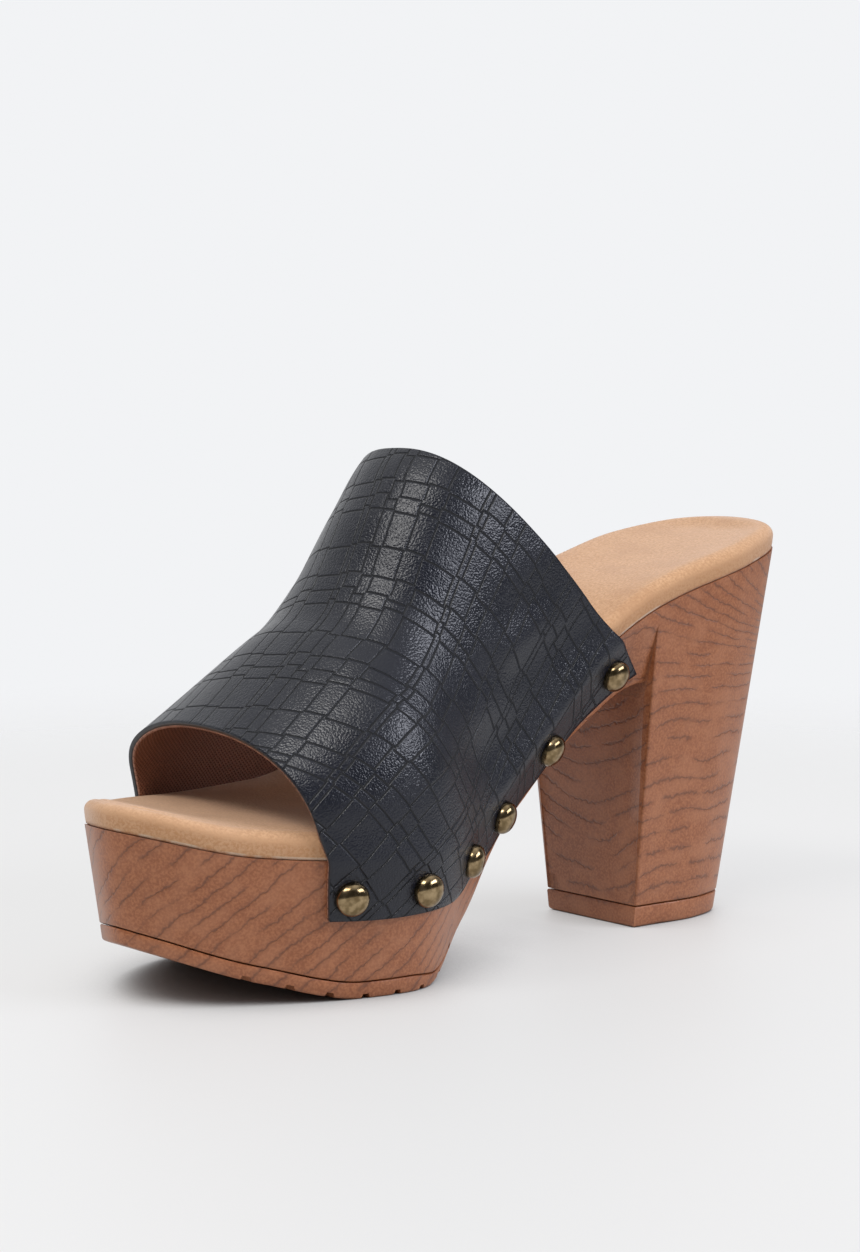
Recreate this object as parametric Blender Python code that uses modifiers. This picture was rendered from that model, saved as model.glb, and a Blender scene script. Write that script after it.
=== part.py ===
# A heeled clog: an open-toed slip-on with a platform and a block heel, right foot.
# Metres, +Z up, toe towards -Y, inner (medial) side towards +X, standing on Z = 0.

import math

import bmesh
import bpy
import numpy as np
from mathutils import Matrix, Vector

# Sole
SOLE_LENGTH = 0.2262          # toe to heel, at the top edge of the sole
BALL_WIDTH = 0.0882           # across the ball, at the top edge of the sole
PLATFORM_HEIGHT = 0.0365      # floor to the top edge, under the ball
HEEL_HEIGHT = 0.1067          # floor to the top edge, at the back of the heel
TOE_SPRING = 0.0153           # floor to the lower edge, at the tip of the toe
OUTSOLE_THICKNESS = 0.0043
OUTSOLE_END = 0.0014          # thickness left where the outsole runs out at the arch
TREAD_PITCH = 0.0103
TREAD_WIDTH = 0.0026
TREAD_DEPTH = 0.0013
LIP = 0.0007                  # bevel on the edges beside the parting grooves

# Heel block
BREAST_LEAN = 0.0020          # how far the top of the heel's front leans over its base
HEEL_BASE_HALF_WIDTH = 0.0179
HEEL_BASE_LENGTH = 0.0399
HEEL_TIP_THICKNESS = 0.0060

# Footbed
INSOLE_THICKNESS = 0.0068
INSOLE_EDGE_RADIUS = 0.0034
INSOLE_REVEAL = 0.0004        # how far its edge stands in from the sole's edge
INSOLE_CUP = 0.0012           # depth of the hollow under the heel
INSOLE_FLANK = 0.45           # where the hollow starts, as a share from the middle to the edge

# Upper
UPPER_WALL = 0.0020
LAP = 0.0150                  # how far the upper hangs down over the side of the sole
BANK = 0.0080                 # how far it rises along the sole's outline before it curves over
VAMP_HEIGHT = 0.0640          # crest above the sole's edge, where the upper is tallest

# Studs
STUD_DIAMETER = 0.0090
STUD_RISE = 0.0031
STUD_DROP = 0.0090            # below the sole's top edge

FIT_GAP = 0.0003              # between pieces that touch on the real shoe

STATIONS = 60                 # cross-sections along the sole
WALL_ROWS = 4                 # strips down its side
UPPER_ROWS = 24               # sections of the upper, from toe edge to collar
UPPER_COLUMNS = 19            # points over the foot in each of them

# The outline of the sole's top edge: along is a share of SOLE_LENGTH from the toe,
# out is a share of half of BALL_WIDTH from the shoe's long axis.
TIP_OUT = 0.185               # the tip of the toe lies towards the inner side
MEDIAL_OUTLINE = [
    # along, out
    (0.030, 0.488),
    (0.130, 0.845),
    (0.310, 1.082),
    (0.470, 0.715),
    (0.620, 0.653),
    (0.780, 0.670),
    (0.900, 0.663),
    (0.975, 0.482),
]
LATERAL_OUTLINE = [
    # along, out
    (0.025, 0.254),
    (0.120, 0.747),
    (0.290, 0.977),
    (0.470, 0.935),
    (0.620, 0.770),
    (0.780, 0.650),
    (0.900, 0.636),
    (0.975, 0.400),
]

# The sole from the side. rise and arch are shares of HEEL_HEIGHT less PLATFORM_HEIGHT: the
# top edge's height over the platform, and the underside's height over the floor.
# toe_top and toe_under are shares of TOE_SPRING. draft is how far the side wall
# slopes in for each unit that it goes down.
PROFILE_COLUMNS = ("along", "rise", "arch", "toe_top", "toe_under", "draft")
PROFILE = [
    (0.00, 0.000, 0.000, 0.550, 1.000, 0.130),
    (0.12, 0.000, 0.000, 0.130, 0.385, 0.160),
    (0.24, 0.000, 0.000, 0.010, 0.000, 0.180),
    (0.35, 0.012, 0.000, 0.000, 0.000, 0.155),
    (0.45, 0.110, 0.180, 0.000, 0.000, 0.220),
    (0.55, 0.349, 0.541, 0.000, 0.000, 0.440),
    (0.64, 0.598, 0.816, 0.000, 0.000, 0.420),
    (0.74, 0.780, 1.004, 0.000, 0.000, 0.350),
    (0.85, 0.888, 1.004, 0.000, 0.000, 0.350),
    (1.00, 1.000, 1.004, 0.000, 0.000, 0.350),
]
BREAST_ALONG = 0.742          # the top of the heel's front face
OUTSOLE_ALONG = 0.415         # the back end of the outsole

# The upper, from its toe edge to its collar. Feet are where it crosses the sole's top edge
# and hems where its lower edge lies, as shares of SOLE_LENGTH. The crest's side is a share
# of half of BALL_WIDTH towards the inner side, its height a share of VAMP_HEIGHT.
# Fullness is the section's roundness: 2 is an ellipse, and more is squarer.
UPPER_COLUMNS_NAMED = (
    "across", "medial_foot", "medial_hem", "lateral_foot", "lateral_hem",
    "crest_along", "crest_side", "crest_height", "medial_full", "lateral_full",
)
UPPER_TABLE = [
    (0.00, 0.185, 0.188, 0.194, 0.196, 0.134, 0.037, 0.494, 2.35, 2.10),
    (0.33, 0.345, 0.352, 0.345, 0.352, 0.262, 0.130, 0.869, 2.33, 1.85),
    (0.67, 0.512, 0.530, 0.500, 0.516, 0.339, 0.134, 1.000, 2.43, 2.00),
    (1.00, 0.676, 0.718, 0.650, 0.690, 0.410, 0.109, 0.870, 2.70, 2.33),
]
STUD_ALONG = [0.211, 0.306, 0.408, 0.486, 0.572, 0.675]

# name, base colour, metallic, roughness
MATERIALS = {
    "wood_look": ((0.235, 0.090, 0.040), 0.0, 0.50),
    "suede": ((0.560, 0.340, 0.180), 0.0, 0.90),
    "embossed": ((0.018, 0.021, 0.034), 0.0, 0.42),
    "brass": ((0.300, 0.200, 0.080), 1.0, 0.35),
}


def eased(xs, ys, x):
    """A smooth curve through the rows of a table that never overshoots them."""
    xs, ys = np.asarray(xs, float), np.asarray(ys, float)
    steps = np.diff(xs)
    slopes = np.diff(ys) / steps
    bends = np.zeros(len(xs))
    for i in range(1, len(xs) - 1):
        if slopes[i - 1] * slopes[i] > 0:
            bends[i] = 2 * slopes[i - 1] * slopes[i] / (slopes[i - 1] + slopes[i])
    bends[0], bends[-1] = slopes[0], slopes[-1]
    x = float(np.clip(x, xs[0], xs[-1]))
    i = int(np.clip(np.searchsorted(xs, x) - 1, 0, len(steps) - 1))
    t = (x - xs[i]) / steps[i]
    return float(
        (1 + 2 * t) * (1 - t) ** 2 * ys[i]
        + t * (1 - t) ** 2 * steps[i] * bends[i]
        + t * t * (3 - 2 * t) * ys[i + 1]
        - t * t * (1 - t) * steps[i] * bends[i + 1]
    )


def column(table, names, name, x):
    """The named column of a table, eased at x, which is measured in the first column."""
    rows = np.array(table)
    return eased(rows[:, 0], rows[:, names.index(name)], x)


def profile(name, along):
    return column(PROFILE, PROFILE_COLUMNS, name, along)


def smooth_path(points, count, closed):
    """Points along a smooth curve through the given ones."""
    p = np.array(points, float)
    n = len(p)
    spans = n if closed else n - 1
    chords = [np.linalg.norm(p[(i + 1) % n] - p[i]) for i in range(spans)]
    tangents = []
    for i in range(n):
        if not closed and i in (0, n - 1):
            j = 0 if i == 0 else n - 2
            tangents.append((p[j + 1] - p[j]) / chords[j])
            continue
        before, after = chords[(i - 1) % spans], chords[i % spans]
        into = (p[i] - p[i - 1]) / before
        out = (p[(i + 1) % n] - p[i]) / after
        tangents.append((into * after + out * before) / (before + after))
    along = np.concatenate([[0.0], np.cumsum(chords)])
    path = []
    for d in np.linspace(0, along[-1], count, endpoint=not closed):
        i = int(np.clip(np.searchsorted(along, d, side="right") - 1, 0, spans - 1))
        t = (d - along[i]) / chords[i]
        a, b = p[i], p[(i + 1) % n]
        path.append(
            (1 + 2 * t) * (1 - t) ** 2 * a
            + t * (1 - t) ** 2 * chords[i] * tangents[i]
            + t * t * (3 - 2 * t) * b
            - t * t * (1 - t) * chords[i] * tangents[(i + 1) % n]
        )
    return np.array(path)


def outline_sides():
    """The sole's top edge as two lists, toe to heel: inner side, then outer.

    Each row holds x, y and the outward direction's x and y.
    """
    half = BALL_WIDTH / 2
    loop = [(TIP_OUT * half, 0.0)]
    loop += [(out * half, along * SOLE_LENGTH) for along, out in MEDIAL_OUTLINE]
    loop += [(0.0, SOLE_LENGTH)]
    loop += [(-out * half, along * SOLE_LENGTH) for along, out in reversed(LATERAL_OUTLINE)]
    path = smooth_path(loop, 1200, closed=True)
    run = np.roll(path, -5, axis=0) - np.roll(path, 5, axis=0)
    run /= np.linalg.norm(run, axis=1)[:, None]
    rows = np.column_stack([path, run[:, 1], -run[:, 0]])
    rows = np.roll(rows, -int(np.argmin(rows[:, 1])), axis=0)
    back = int(np.argmax(rows[:, 1]))
    return rows[: back + 1], np.vstack([rows[back:], rows[:1]])[::-1]


MEDIAL_EDGE, LATERAL_EDGE = outline_sides()


def edge_point(side, along):
    """A point on the outline and its outward direction. side is 1 inner, -1 outer."""
    edge = MEDIAL_EDGE if side > 0 else LATERAL_EDGE
    y = edge[0, 1] + (edge[-1, 1] - edge[0, 1]) * min(max(along, 0.0), 1.0)
    row = [np.interp(y, edge[:, 1], edge[:, i]) for i in range(4)]
    outward = np.array(row[2:])
    return np.array(row[:2]), outward / np.linalg.norm(outward)


def top_height(along):
    lift = HEEL_HEIGHT - PLATFORM_HEIGHT
    return PLATFORM_HEIGHT + profile("rise", along) * lift + profile("toe_top", along) * TOE_SPRING


def under_height(along):
    lift = HEEL_HEIGHT - PLATFORM_HEIGHT
    return profile("arch", along) * lift + profile("toe_under", along) * TOE_SPRING


def wall_point(side, along, drop, inset=0.0):
    """On the sole's side wall, drop below its top edge, or level with that and inset.

    Above the top edge (a negative drop) the wall is carried on straight up.
    """
    point, outward = edge_point(side, along)
    draft = profile("draft", along) if drop > 0 else 0.0
    x, y = point - outward * (draft * drop + inset)
    return np.array([x, y, top_height(along) - drop])


def wall_normal(side, along, drop):
    """Square to the side wall, outwards."""
    step = 0.5 * LAP
    share = step / SOLE_LENGTH
    run = wall_point(side, along + share, drop) - wall_point(side, along - share, drop)
    fall = wall_point(side, along, drop + step / 2) - wall_point(side, along, drop - step / 2)
    normal = np.cross(run, fall) * -side
    return normal / np.linalg.norm(normal)


def skin_point(side, along, drop, out):
    """Off the side wall: out from its surface, measured square to it."""
    return wall_point(side, along, drop) + wall_normal(side, along, drop) * out


def heel_point(side, along, height):
    """On the heel block's wall: straight lines from the sole's edge down to the base."""
    top, _ = edge_point(side, along)
    corner, _ = edge_point(side, BREAST_ALONG)
    back = SOLE_LENGTH
    base_front = corner[1] + BREAST_LEAN
    base = np.array([
        top[0] * HEEL_BASE_HALF_WIDTH / abs(corner[0]),
        base_front + (top[1] - corner[1]) * HEEL_BASE_LENGTH / (back - corner[1]),
    ])
    share = height / top_height(along)
    x, y = base * (1 - share) + top * share
    return np.array([x, y, height])


def stations(first, last, count):
    """Shares along the shoe, close together where the outline turns at its two ends."""
    full = [(1 - math.cos(math.pi * i / count)) / 2 for i in range(count + 1)]
    inner = [s for s in full if first + 0.003 < s < last - 0.003]
    near_tip = [0.0008, 0.0020] if first == 0.0 else []
    near_back = [0.9980, 0.9992] if last == 1.0 else []
    return [first] + near_tip + inner + near_back + [last]


def mesh_object(name, bm, material, smooth_angle=35):
    bmesh.ops.remove_doubles(bm, verts=bm.verts, dist=1e-6)
    bmesh.ops.recalc_face_normals(bm, faces=bm.faces)
    mesh = bpy.data.meshes.new(name)
    bm.to_mesh(mesh)
    bm.free()
    mesh.shade_smooth()
    mesh.set_sharp_from_angle(angle=math.radians(smooth_angle))
    mesh.materials.append(material)
    obj = bpy.data.objects.new(name, mesh)
    bpy.data.collections["heeled_clog"].objects.link(obj)
    return obj


def loft(name, sections, material, close_ring=True):
    """Joins a row of sections, each a ring of as many points, and caps the two ends."""
    bm = bmesh.new()
    rings = [[bm.verts.new(point) for point in section] for section in sections]
    count = len(rings[0])
    for ring, following in zip(rings, rings[1:]):
        for i in range(count if close_ring else count - 1):
            j = (i + 1) % count
            bm.faces.new((ring[i], following[i], following[j], ring[j]))
    if close_ring:
        bm.faces.new(rings[0])
        bm.faces.new(reversed(rings[-1]))
    return mesh_object(name, bm, material)


def both_sides(points_of_side):
    """A closed section: the inner side's points top to bottom, then the outer's back up."""
    return points_of_side(1) + points_of_side(-1)[::-1]


def outsole_thickness(along):
    """Full under the forefoot, thinning to its end where the arch starts to rise."""
    xs = [0.0, 0.30, OUTSOLE_ALONG]
    return eased(xs, [OUTSOLE_THICKNESS, OUTSOLE_THICKNESS, OUTSOLE_END], along)


def build_sole_unit(material):
    """Platform, arch and heel block, moulded as one piece."""

    def waist_side(along, recess):
        def points(side):
            depth = top_height(along) - under_height(along) - recess
            lip = wall_point(side, along, depth - LIP)
            root = wall_point(side, along, depth, LIP)
            wall = [wall_point(side, along, (depth - LIP) * i / WALL_ROWS) for i in range(WALL_ROWS)]
            return wall + [lip, root]
        return points

    def heel_side(along):
        def points(side):
            floor = HEEL_TIP_THICKNESS + FIT_GAP
            top = top_height(along)
            wall = [
                heel_point(side, along, top + (floor + LIP - top) * i / WALL_ROWS)
                for i in range(WALL_ROWS + 1)
            ]
            root = heel_point(side, along, floor)
            root[:2] += (heel_centre() - root[:2]) * LIP / HEEL_BASE_HALF_WIDTH
            return wall + [root]
        return points

    sections = []
    for along in stations(0.0, OUTSOLE_ALONG, STATIONS):
        sections.append(both_sides(waist_side(along, outsole_thickness(along) + FIT_GAP)))
    for along in stations(OUTSOLE_ALONG, BREAST_ALONG, STATIONS):
        sections.append(both_sides(waist_side(along, 0.0)))
    for along in stations(BREAST_ALONG, 1.0, STATIONS):
        sections.append(both_sides(heel_side(along)))
    return loft("sole_unit", sections, material)


def heel_centre():
    front = BREAST_ALONG * SOLE_LENGTH + BREAST_LEAN
    return np.array([0.0, front + HEEL_BASE_LENGTH / 2])


def build_outsole(material):
    """The tread under the forefoot, cut across by grooves."""
    first, last = 0.0, OUTSOLE_ALONG - 2 * FIT_GAP / SOLE_LENGTH
    pitch, width = TREAD_PITCH / SOLE_LENGTH, TREAD_WIDTH / SOLE_LENGTH
    cuts = np.arange(0.105, last - pitch / 2, pitch)
    marks = [(along, 0.0) for along in stations(first, last, STATIONS)]
    marks = [m for m in marks if all(abs(m[0] - cut) > width * 0.75 for cut in cuts)]
    for cut in cuts:
        marks += [(cut - width / 2, 0.0), (cut - width / 2 + 1e-7, TREAD_DEPTH)]
        marks += [(cut + width / 2, TREAD_DEPTH), (cut + width / 2 + 1e-7, 0.0)]
    marks.sort()

    def outsole_side(along, lift):
        def points(side):
            depth = top_height(along) - under_height(along)
            thickness = outsole_thickness(along)
            rounding = min(LIP * 2, thickness / 3)
            return [
                wall_point(side, along, depth - thickness, LIP),
                wall_point(side, along, depth - thickness + min(LIP, thickness / 4)),
                wall_point(side, along, depth - max(rounding, lift)),
                wall_point(side, along, depth - lift, rounding),
            ]
        return points

    return loft("outsole", [both_sides(outsole_side(*mark)) for mark in marks], material)


def build_heel_tip(material):
    """The top piece that the heel stands on, with its two edges bevelled."""
    top = HEEL_TIP_THICKNESS
    levels = [(top, LIP), (top - LIP, 0.0), (LIP, 0.0), (0.0, LIP)]
    around = stations(BREAST_ALONG, 1.0, STATIONS)
    rings = []
    for height, inset in levels:
        ring = [heel_point(1, along, height) for along in around]
        ring += [heel_point(-1, along, height) for along in reversed(around[:-1])]
        for point in ring:
            point[:2] += (heel_centre() - point[:2]) * inset / HEEL_BASE_HALF_WIDTH
        rings.append(ring)
    return loft("heel_tip", rings, material)


def build_insole(material):
    """The padded footbed: rounded edges, and a shallow hollow under the heel."""
    radius = min(INSOLE_EDGE_RADIUS, INSOLE_THICKNESS * 0.9)
    arc = [math.radians(a) for a in (0, 30, 60, 90)]

    def insole_side(along):
        cup = INSOLE_CUP * eased([0.0, 0.60, 0.80, 0.95, 1.0], [0, 0, 1, 1, 0], along)
        taper = eased([0.0, 0.02, 0.98, 1.0], [0, 1, 1, 0], along)

        def points(side):
            shoulder = INSOLE_THICKNESS - radius
            run = [
                footbed_point(side, along, 0.0, LIP),
                footbed_point(side, along, LIP, 0.0),
            ]
            for angle in arc:
                height = shoulder + radius * math.sin(angle)
                run.append(footbed_point(side, along, height, radius * (1 - math.cos(angle))))
            middle = (
                footbed_point(1, along, INSOLE_THICKNESS, radius)
                + footbed_point(-1, along, INSOLE_THICKNESS, radius)
            ) / 2
            hollow = run[-1] * INSOLE_FLANK + middle * (1 - INSOLE_FLANK)
            hollow[2] -= cup * taper
            return run + [hollow]
        return points

    sections = [both_sides(insole_side(along)) for along in stations(0.0, 1.0, STATIONS)]
    return loft("insole", sections, material)


def footbed_point(side, along, height, inset):
    """On the insole: height above the sole's top and inset from the insole's own edge."""
    point, outward = edge_point(side, along)
    x, y = point - outward * (INSOLE_REVEAL + inset)
    return np.array([x, y, top_height(y / SOLE_LENGTH) + FIT_GAP + height])


def upper_section(across):
    """One section of the upper's outer face, hem to hem over the foot."""
    row = {name: column(UPPER_TABLE, UPPER_COLUMNS_NAMED, name, across)
           for name in UPPER_COLUMNS_NAMED[1:]}
    out = FIT_GAP + UPPER_WALL
    feet = (skin_point(1, row["medial_foot"], 0.0, out), skin_point(-1, row["lateral_foot"], 0.0, out))
    crest = np.array([
        row["crest_side"] * BALL_WIDTH / 2,
        row["crest_along"] * SOLE_LENGTH,
        (feet[0][2] + feet[1][2]) / 2 + row["crest_height"] * VAMP_HEIGHT,
    ])

    def bank(side, name, foot):
        """The hem, the sole's edge and the top of the bank, following the sole's outline."""
        lean = (crest[1] - foot[1]) / (crest[2] - foot[2]) / SOLE_LENGTH
        hem_along, foot_along = row[name + "_hem"], row[name + "_foot"]
        points = []
        for share in (1.0, 0.5, 0.0):
            along = foot_along + (hem_along - foot_along) * share
            points.append(skin_point(side, along, LAP * share, out))
        for share in (0.5, 1.0):
            along = foot_along + lean * BANK * share
            drop = -(foot[2] + BANK * share - top_height(along))
            points.append(skin_point(side, along, drop, out))
        return points

    medial = bank(1, "medial", feet[0])
    lateral = bank(-1, "lateral", feet[1])
    middle = (medial[-1] + lateral[-1]) / 2
    half_span = (medial[-1] - lateral[-1]) / 2
    reach = crest - middle
    over = []
    for i in range(1, UPPER_COLUMNS + 1):
        angle = math.pi * i / (UPPER_COLUMNS + 1)
        full = row["medial_full"] if angle < math.pi / 2 else row["lateral_full"]
        cos, sin = math.cos(angle), math.sin(angle)
        aside = math.copysign(abs(cos) ** (2 / full), cos)
        over.append(middle + half_span * aside + reach * sin ** (2 / full))
    return medial + over + lateral[::-1]


def build_upper(material):
    """One sheet over the foot, open at the toe, at the collar and underneath."""
    rows = [upper_section(i / (UPPER_ROWS - 1)) for i in range(UPPER_ROWS)]
    upper = loft("upper", rows, material, close_ring=False)
    bm = bmesh.new()
    bm.from_mesh(upper.data)
    crest_face = max(bm.faces, key=lambda face: face.calc_center_median().z)
    if crest_face.normal.z < 0:
        bmesh.ops.reverse_faces(bm, faces=bm.faces)
    bm.to_mesh(upper.data)
    bm.free()
    wall = upper.modifiers.new("wall", "SOLIDIFY")
    wall.thickness = UPPER_WALL
    wall.offset = -1.0
    wall.use_even_offset = True
    return upper


def build_stud(name, side, along, material):
    """A domed tack that holds the upper's hem to the side of the sole."""
    bm = bmesh.new()
    bmesh.ops.create_uvsphere(bm, u_segments=14, v_segments=12, radius=STUD_DIAMETER / 2)
    bmesh.ops.bisect_plane(
        bm, geom=bm.verts[:] + bm.edges[:] + bm.faces[:], dist=1e-7,
        plane_co=(0, 0, 0), plane_no=(0, 0, 1), clear_inner=True,
    )
    rim = [edge for edge in bm.edges if edge.is_boundary]
    bmesh.ops.contextual_create(bm, geom=rim)
    bmesh.ops.scale(bm, vec=(1, 1, STUD_RISE / (STUD_DIAMETER / 2)), verts=bm.verts)
    seat = skin_point(side, along, STUD_DROP, FIT_GAP * 2 + UPPER_WALL)
    axis = Vector(wall_normal(side, along, STUD_DROP))
    turn = axis.to_track_quat("Z", "Y").to_matrix().to_4x4()
    bmesh.ops.transform(bm, matrix=Matrix.Translation(seat) @ turn, verts=bm.verts)
    return mesh_object(name, bm, material)


def new_material(name):
    colour, metallic, roughness = MATERIALS[name]
    material = bpy.data.materials.new(name)
    material.use_nodes = True
    shader = material.node_tree.nodes["Principled BSDF"]
    shader.inputs["Base Color"].default_value = (*colour, 1.0)
    shader.inputs["Metallic"].default_value = metallic
    shader.inputs["Roughness"].default_value = roughness
    return material


def centre_on_floor(objects):
    """Puts the origin at the middle of the shoe's box, on the floor."""
    corners = np.array([v.co[:] for obj in objects for v in obj.data.vertices])
    low, high = corners.min(axis=0), corners.max(axis=0)
    shift = Matrix.Translation((-(low[0] + high[0]) / 2, -(low[1] + high[1]) / 2, -low[2]))
    for obj in objects:
        obj.data.transform(shift)


def main():
    for obj in list(bpy.data.objects):
        bpy.data.objects.remove(obj, do_unlink=True)
    bpy.context.scene.collection.children.link(bpy.data.collections.new("heeled_clog"))
    wood, suede, embossed, brass = (new_material(name) for name in MATERIALS)
    pieces = [
        build_sole_unit(wood),
        build_outsole(wood),
        build_heel_tip(wood),
        build_insole(suede),
        build_upper(embossed),
    ]
    for side, word in ((1, "medial"), (-1, "lateral")):
        for number, along in enumerate(STUD_ALONG, start=1):
            pieces.append(build_stud(f"stud_{word}_{number}", side, along, brass))
    centre_on_floor(pieces)


main()
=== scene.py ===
import math

import bmesh
import bpy
import numpy as np
from mathutils import Matrix, Vector


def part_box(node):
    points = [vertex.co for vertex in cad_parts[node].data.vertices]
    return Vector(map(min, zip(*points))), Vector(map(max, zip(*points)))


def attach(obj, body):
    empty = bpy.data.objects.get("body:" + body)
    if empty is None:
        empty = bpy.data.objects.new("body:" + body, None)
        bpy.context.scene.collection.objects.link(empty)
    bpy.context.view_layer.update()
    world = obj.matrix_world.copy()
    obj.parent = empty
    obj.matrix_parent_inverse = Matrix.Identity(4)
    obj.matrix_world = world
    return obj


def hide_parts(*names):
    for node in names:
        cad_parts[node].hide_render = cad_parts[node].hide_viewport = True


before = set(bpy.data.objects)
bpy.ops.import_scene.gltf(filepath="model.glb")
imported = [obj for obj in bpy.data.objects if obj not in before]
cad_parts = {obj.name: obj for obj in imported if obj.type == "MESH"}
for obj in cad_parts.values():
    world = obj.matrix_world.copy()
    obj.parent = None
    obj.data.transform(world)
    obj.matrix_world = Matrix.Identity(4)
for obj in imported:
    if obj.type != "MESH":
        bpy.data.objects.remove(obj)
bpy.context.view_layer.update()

# The shoe's own sizes, in metres: toe at y = 0, heel at y = length, inner side at +X.
shoe = {
    "length": 0.2262, "ballWidth": 0.0882, "platformHeight": 0.0365, "heelHeight": 0.1067,
    "toeSpring": 0.0153, "outsole": 0.0043, "outsoleEnd": 0.0014, "outsoleFull": 0.30,
    "outsoleAlong": 0.415, "breastAlong": 0.742, "breastLean": 0.0020,
    "heelBaseHalfWidth": 0.0179, "heelBaseLength": 0.0399, "heelTip": 0.0060,
    "gap": 0.0003, "lip": 0.0004, "lap": 0.0150, "bank": 0.0080, "vamp": 0.0640, "wall": 0.0020,
    "insole": 0.0068, "insoleReveal": 0.0004, "studDrop": 0.0090, "studDiameter": 0.0090,
    "studRise": 0.0031,
}
shoe["lift"] = shoe["heelHeight"] - shoe["platformHeight"]

# The outline of the sole's top edge: share of the length, share of half the ball's width.
tipOut = 0.185
medialOutline = [
    (0.030, 0.488), (0.130, 0.845), (0.310, 1.082), (0.470, 0.715),
    (0.620, 0.653), (0.780, 0.670), (0.900, 0.663), (0.975, 0.482),
]
lateralOutline = [
    (0.025, 0.254), (0.120, 0.747), (0.290, 0.977), (0.470, 0.935),
    (0.620, 0.770), (0.780, 0.650), (0.900, 0.636), (0.975, 0.400),
]

# The sole from the side, as shares of the lift and of the toe spring.
profileNames = ("along", "rise", "arch", "toeTop", "toeUnder", "draft")
profileRows = [
    (0.00, 0.000, 0.000, 0.550, 1.000, 0.130),
    (0.12, 0.000, 0.000, 0.130, 0.385, 0.160),
    (0.24, 0.000, 0.000, 0.010, 0.000, 0.180),
    (0.35, 0.012, 0.000, 0.000, 0.000, 0.155),
    (0.45, 0.110, 0.180, 0.000, 0.000, 0.220),
    (0.55, 0.349, 0.541, 0.000, 0.000, 0.440),
    (0.64, 0.598, 0.816, 0.000, 0.000, 0.420),
    (0.74, 0.780, 1.004, 0.000, 0.000, 0.350),
    (0.85, 0.888, 1.004, 0.000, 0.000, 0.350),
    (1.00, 1.000, 1.004, 0.000, 0.000, 0.350),
]

# The upper from its toe edge to its collar: feet, hems and crest, and how square it is.
upperNames = (
    "across", "medialFoot", "medialHem", "lateralFoot", "lateralHem",
    "crestAlong", "crestSide", "crestHeight", "medialFull", "lateralFull",
)
upperRows = [
    (0.00, 0.185, 0.188, 0.194, 0.196, 0.134, 0.037, 0.494, 2.35, 2.10),
    (0.33, 0.345, 0.352, 0.345, 0.352, 0.262, 0.130, 0.869, 2.33, 1.85),
    (0.67, 0.512, 0.530, 0.500, 0.516, 0.339, 0.134, 1.000, 2.43, 2.00),
    (1.00, 0.676, 0.718, 0.650, 0.690, 0.410, 0.109, 0.870, 2.70, 2.33),
]
studAlong = [0.211, 0.306, 0.408, 0.486, 0.572, 0.675]


def smoothStep(low, high, x):
    t = min(max((x - low) / (high - low), 0.0), 1.0)
    return t * t * (3 - 2 * t)


def eased(xs, ys, x):
    steps = np.diff(xs)
    slopes = np.diff(ys) / steps
    bends = np.zeros(len(xs))
    for i in range(1, len(xs) - 1):
        if slopes[i - 1] * slopes[i] > 0:
            bends[i] = 2 * slopes[i - 1] * slopes[i] / (slopes[i - 1] + slopes[i])
    bends[0], bends[-1] = slopes[0], slopes[-1]
    x = min(max(x, xs[0]), xs[-1])
    i = min(max(int(np.searchsorted(xs, x)) - 1, 0), len(steps) - 1)
    t = (x - xs[i]) / steps[i]
    return float(
        (1 + 2 * t) * (1 - t) ** 2 * ys[i] + t * (1 - t) ** 2 * steps[i] * bends[i]
        + t * t * (3 - 2 * t) * ys[i + 1] - t * t * (1 - t) * steps[i] * bends[i + 1]
    )


def byName(names, rows):
    return {name: np.array([row[i] for row in rows]) for i, name in enumerate(names)}


profileTable = byName(profileNames, profileRows)
upperTable = byName(upperNames, upperRows)


def profileAt(name, along):
    return eased(profileTable["along"], profileTable[name], along)


def smoothPath(points, count, closed):
    p = np.array(points, float)
    n = len(p)
    spans = n if closed else n - 1
    chords = [np.linalg.norm(p[(i + 1) % n] - p[i]) for i in range(spans)]
    tangents = []
    for i in range(n):
        if not closed and i in (0, n - 1):
            j = 0 if i == 0 else n - 2
            tangents.append((p[j + 1] - p[j]) / chords[j])
            continue
        before, after = chords[(i - 1) % spans], chords[i % spans]
        into = (p[i] - p[i - 1]) / before
        out = (p[(i + 1) % n] - p[i]) / after
        tangents.append((into * after + out * before) / (before + after))
    along = np.concatenate([[0.0], np.cumsum(chords)])
    tangents, chords = np.array(tangents), np.array(chords)
    d = np.linspace(0, along[-1], count, endpoint=not closed)
    i = np.clip(np.searchsorted(along, d, side="right") - 1, 0, spans - 1)
    j = (i + 1) % n
    t = ((d - along[i]) / chords[i])[:, None]
    c = chords[i][:, None]
    return (
        (1 + 2 * t) * (1 - t) ** 2 * p[i] + t * (1 - t) ** 2 * c * tangents[i]
        + t * t * (3 - 2 * t) * p[j] - t * t * (1 - t) * c * tangents[j]
    )


def outlineSides():
    half = shoe["ballWidth"] / 2
    loop = [(tipOut * half, 0.0)]
    loop += [(out * half, along * shoe["length"]) for along, out in medialOutline]
    loop += [(0.0, shoe["length"])]
    loop += [(-out * half, along * shoe["length"]) for along, out in reversed(lateralOutline)]
    path = smoothPath(loop, 1200, closed=True)
    run = np.roll(path, -5, axis=0) - np.roll(path, 5, axis=0)
    run /= np.linalg.norm(run, axis=1)[:, None]
    rows = np.column_stack([path, run[:, 1], -run[:, 0]])
    rows = np.roll(rows, -int(np.argmin(rows[:, 1])), axis=0)
    back = int(np.argmax(rows[:, 1]))
    sides = []
    for edge in (rows[: back + 1], np.vstack([rows[back:], rows[:1]])[::-1]):
        steps = np.linalg.norm(np.diff(edge[:, :2], axis=0), axis=1)
        sides.append(np.column_stack([edge, np.concatenate([[0.0], np.cumsum(steps)])]))
    return sides


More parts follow.
